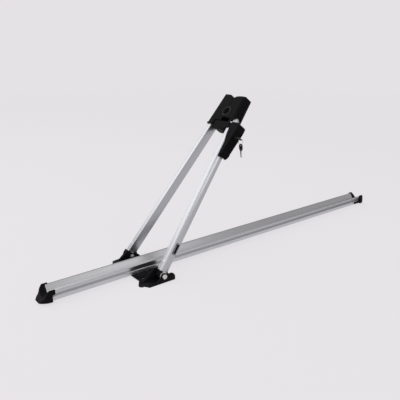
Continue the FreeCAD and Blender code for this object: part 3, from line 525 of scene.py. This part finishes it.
def arm_tube(name, top):
    """Draw one D-section tube, upright on the far side, with its inner side flat."""
    tube = turned(name, arm_round, (0, arm_round_place, arm_low), (0, arm_round_place, top), sides=96)
    cut_flat(tube, (arm_half, 0, 0), (1, 0, 0))
    cut_flat(tube, (-arm_half, 0, 0), (-1, 0, 0))
    cut_flat(tube, (0, -arm_inner, 0), (0, -1, 0))
    select_facing(tube, Vector((0, 0, 1)))
    bpy.ops.mesh.delete(type="FACE")
    bpy.ops.object.mode_set(mode="OBJECT")
    finish_with(tube, "BEVEL", width=arm_corner, segments=5, limit_method="ANGLE",
                angle_limit=arm_corner_angle, use_clamp_overlap=True)
    finish_with(tube, "SOLIDIFY", thickness=arm_wall, offset=-1.0)
    slant = Matrix.Identity(4)
    slant[1][2] = -arm_taper
    slant[1][3] = arm_spread
    tube.data.transform(slant)
    return soften(tube, arm_end_edge)


far_tube = arm_tube("arm_tube_far", far_arm_top)
near_draft = arm_tube("arm_draft", near_arm_top)
near_tube = other_side(near_draft, "arm_tube_near")
bpy.data.objects.remove(near_draft)
for tube, node in ((far_tube, "arm_far"), (near_tube, "arm_near")):
    tube.data.transform(arm_stand)
    dress(tube, arm_aluminium, "arms", node)
for node in ("foot_far", "foot_near", "top_plug_far", "top_plug_near"):
    moulded(node, black_plastic, "arms", voxel=0.6 * mm, passes=5)
edged("foot_pins", "foot_pin_pair", zinc_steel, "arms", edge=0.4 * mm)

# Name plate
# A small plate of dark film is stuck to the near arm above its foot. A thin pale line runs round it inside
# its edge, and the rest is bare.
film_colour = (0.006, 0.006, 0.0065, 1)
label_line_colour = (0.55, 0.55, 0.56, 1)
label_middle = (-0.5 * mm, 83.0 * mm)
label_halves = (7.0 * mm, 17.0 * mm)
label_line_inset = 2.0 * mm
label_line_half = 0.4 * mm
label_film = start_material("label_film", moulded_plastic,
                            {"Colour": film_colour, "Roughness": 0.34, "Grain": 900.0, "Dust": 0.0015},
                            bump=0.03, depth=0.02 * mm, specular=0.05)


def draw_border(material):
    """Paint a thin line a little inside the edge of the plate."""
    tree = material.node_tree
    principled = tree.nodes["Principled BSDF"]
    ground = principled.inputs["Base Color"].links[0].from_socket
    place = next(node for node in tree.nodes if node.type == "TEX_COORD").outputs["Object"]
    stand = add_node(tree, "Mapping", {"Vector": place, "Location": pivot, "Rotation": (0, lean, 0)},
                     vector_type="TEXTURE")
    split = add_node(tree, "SeparateXYZ", {0: stand["Vector"]})
    sides = []
    for axis, middle, half in zip("XZ", label_middle, label_halves):
        offset = add_node(tree, "Math", {0: split[axis], 1: middle}, operation="SUBTRACT")
        reach = add_node(tree, "Math", {0: offset["Value"]}, operation="ABSOLUTE")
        line_place = half - label_line_inset
        sides.append(add_node(tree, "Math", {0: reach["Value"], 1: line_place}, operation="SUBTRACT"))
    further = add_node(tree, "Math", {0: sides[0]["Value"], 1: sides[1]["Value"]}, operation="MAXIMUM")
    line = add_node(tree, "Math", {0: further["Value"], 1: 0.0, 2: label_line_half}, operation="COMPARE")
    paint = add_node(tree, "Mix", {"Factor": line["Value"], 6: ground, 7: label_line_colour},
                     data_type="RGBA")
    feed(tree, principled, {"Base Color": paint[2]})


draw_border(label_film)
edged("label_plate", "name_plate", label_film, "arms", edge=0.2 * mm)

# Saddle
# The plastic cross piece joins the arms under the clamp and wraps the near arm. Two screws hold it to the
# far jaw, and a black bolt with a hexagon socket at each end goes through the near arm.
blackened_colour = (0.004, 0.004, 0.0045, 1)
socket_share = 0.62
socket_depth_share = 0.75
socket_edge = 0.2 * mm
black_steel = start_material("black_steel", plated_steel, {"Colour": blackened_colour, "Roughness": 0.34},
                             bump=0.05, depth=0.02 * mm, specular=0.04)
moulded("saddle", black_plastic, "arms", voxel=0.6 * mm, passes=6)
edged("saddle_screws", "saddle_screw_pair", zinc_steel, "arms", edge=0.2 * mm)


def socket_bolt(node, name, half, radius, head_radius, head_height):
    """Make a bolt across an arm, with a round head and a hexagon socket at each end."""
    low, high = (Vector(corner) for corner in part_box(node))
    middle = upright @ ((low + high) / 2)
    across = Vector((1, 0, 0))
    bar_half = across * (half - overlap)
    pieces = [turned(name + "_bar", radius, middle - bar_half, middle + bar_half)]
    for outward in (-across, across):
        face = middle + outward * half
        seat = middle + outward * (half - head_height)
        head = turned(name + "_head", head_radius, seat, face)
        bottom = face - outward * socket_depth_share * head_height
        socket = turned(name + "_socket", socket_share * head_radius, bottom, face + outward * overlap,
                        sides=6)
        pieces.append(soften(combine(head, socket, "DIFFERENCE"), socket_edge))
    bolt = joined(name, pieces)
    bolt.data.transform(arm_stand)
    dress(bolt, black_steel, "arms", node)


socket_bolt("collar_bolt", "collar_bolt_black", half=16.0 * mm, radius=2.0 * mm, head_radius=4.0 * mm,
            head_height=1.6 * mm)

# Jaws
# Two hollow plastic mouldings close round the bike's frame tube. The far one is fixed on its arm by a black
# bolt, and the near one turns outwards on a pin.
moulded("fixed_jaw", black_plastic, "arms", voxel=0.7 * mm, passes=7)
socket_bolt("jaw_bolt", "jaw_bolt_black", half=18.2 * mm, radius=2.5 * mm, head_radius=4.25 * mm,
            head_height=2.0 * mm)
moulded("moving_jaw", black_plastic, "jaw", voxel=0.7 * mm, passes=7)
edged("jaw_pin", "jaw_pin_black", black_steel, "jaw", edge=0.5 * mm)

# Pads
# A half ring of soft moulded rubber is pressed into the round of each jaw. Grooves run across its face, so
# that it grips a wet tube.
rubber_colour = (0.009, 0.009, 0.010, 1)
pad_groove = 0.8 * mm
pad_groove_half = 30.0 * mm
pad_grooves = 7
pad_inner = 12.5 * mm
pad_edge = 0.4 * mm
pad_rubber = start_material("pad_rubber", moulded_plastic,
                            {"Colour": rubber_colour, "Roughness": 0.62, "Grain": 700.0, "Dust": 0.006},
                            bump=0.2, depth=0.08 * mm, specular=0.25)
clamp_middle = upright @ Vector(clamp["pos_m"])


def grooved_pad(node, name, side, body):
    """Cut grooves across the face of a pad and round its edges."""
    pad = joined_copy(node, name)
    half_groove = Vector((pad_groove_half, 0, 0))
    for count in range(pad_grooves):
        angle = math.pi * (count + 0.5) / pad_grooves
        place = clamp_middle + Vector((0, side * pad_inner * math.sin(angle), pad_inner * math.cos(angle)))
        groove = turned("groove", pad_groove, place - half_groove, place + half_groove, sides=16)
        groove.data.transform(arm_stand)
        combine(pad, groove, "DIFFERENCE")
    dress(soften(pad, pad_edge), pad_rubber, body, node)


grooved_pad("fixed_pad", "fixed_pad_rubber", 1, "arms")
grooved_pad("moving_pad", "moving_pad_rubber", -1, "jaw")

# Lever
# A plastic channel over the outside of the near arm pulls the moving jaw shut. It turns on a black pin in
# a block that is screwed to the arm, and has low ribs for the fingers near its lower end.
rib_radius = 1.1 * mm
rib_half = 11.0 * mm
rib_step = 4.2 * mm
rib_count = 5
lever_back_low = Vector((0, -77.0 * mm, 404.0 * mm))
lever_back_slope = -0.0914
half_rib = Vector((rib_half, 0, 0))
ribs = []
for count in range(rib_count):
    rise = count * rib_step
    place = lever_back_low + Vector((0, lever_back_slope * rise, rise))
    rib = turned("finger_rib", rib_radius, place - half_rib, place + half_rib, sides=24)
    rib.data.transform(arm_stand)
    ribs.append(rib)
moulded("lever", black_plastic, "lever", voxel=0.6 * mm, passes=5, added=ribs)
edged("lever_pin", "lever_pin_black", black_steel, "lever", edge=0.4 * mm)
moulded("lever_block", black_plastic, "arms", voxel=0.6 * mm, passes=4)
edged("block_screws", "block_screw_pair", zinc_steel, "arms", edge=0.2 * mm)

# Lock
# A cylinder lock goes through the lever, held by a nut inside. Its cam turns behind the steel keeper on the
# arm. The barrel and the plug have a black finish, and what is inside is bright.
lock_colour = (0.66, 0.65, 0.62, 1)
lock_finish_colour = (0.006, 0.006, 0.0065, 1)
lock_metal = start_material("lock_metal", plated_steel, {"Colour": lock_colour, "Roughness": 0.16},
                            bump=0.05, depth=0.02 * mm, metal=1.0)
lock_black = start_material("lock_black", plated_steel, {"Colour": lock_finish_colour, "Roughness": 0.26},
                            bump=0.04, depth=0.02 * mm, specular=0.07)
edged("lock_barrel", "lock_barrel_face", lock_black, "lever", edge=0.6 * mm, segments=3)
edged("lock_plug", "lock_plug_face", lock_black, "plug", edge=0.25 * mm)
edged("barrel_nut", "barrel_nut_ring", lock_metal, "lever", edge=0.3 * mm)
edged("lock_cam", "lock_cam_tongue", lock_metal, "plug", edge=0.3 * mm)
edged("lock_keeper", "keeper_hook", zinc_steel, "arms", edge=0.3 * mm)

# Keys
# Two flat keys with black plastic bows. One stands in the lock, and the spare hangs from it on a wire ring.
# Each bow has a raised rim round its face.
key_colour = (0.60, 0.59, 0.55, 1)
bow_colour = (0.008, 0.008, 0.009, 1)
key_rim = 1.1 * mm
key_rim_depth = 0.3 * mm
bow_edge = 0.25 * mm
key_steel = start_material("key_steel", plated_steel, {"Colour": key_colour, "Roughness": 0.24},
                           bump=0.05, depth=0.02 * mm, metal=1.0)
key_plastic = start_material("key_plastic", moulded_plastic,
                             {"Colour": bow_colour, "Roughness": 0.26, "Grain": 1800.0, "Dust": 0.003},
                             bump=0.05, depth=0.03 * mm, specular=0.4)
edged("key_blade", "key_blade_steel", key_steel, "key", edge=0.15 * mm)
edged("spare_key_blade", "spare_key_blade_steel", key_steel, "spare", edge=0.15 * mm)


def rimmed_bow(node, name, flat, body):
    """Sink the two faces of a bow inside a raised rim, and round its edges."""
    bow = joined_copy(node, name)
    select_facing(bow, flat)
    bpy.ops.mesh.inset(thickness=key_rim, depth=-key_rim_depth)
    bpy.ops.object.mode_set(mode="OBJECT")
    dress(soften(bow, bow_edge), key_plastic, body, node)


rimmed_bow("key_bow", "key_bow_plastic", arm_stand.to_3x3() @ Vector((0, 0, 1)), "key")
rimmed_bow("spare_key_bow", "spare_key_bow_plastic", Vector((1, 0, 0)), "spare")
edged("key_ring", "key_ring_wire", lock_metal, "ring", edge=0.1 * mm)
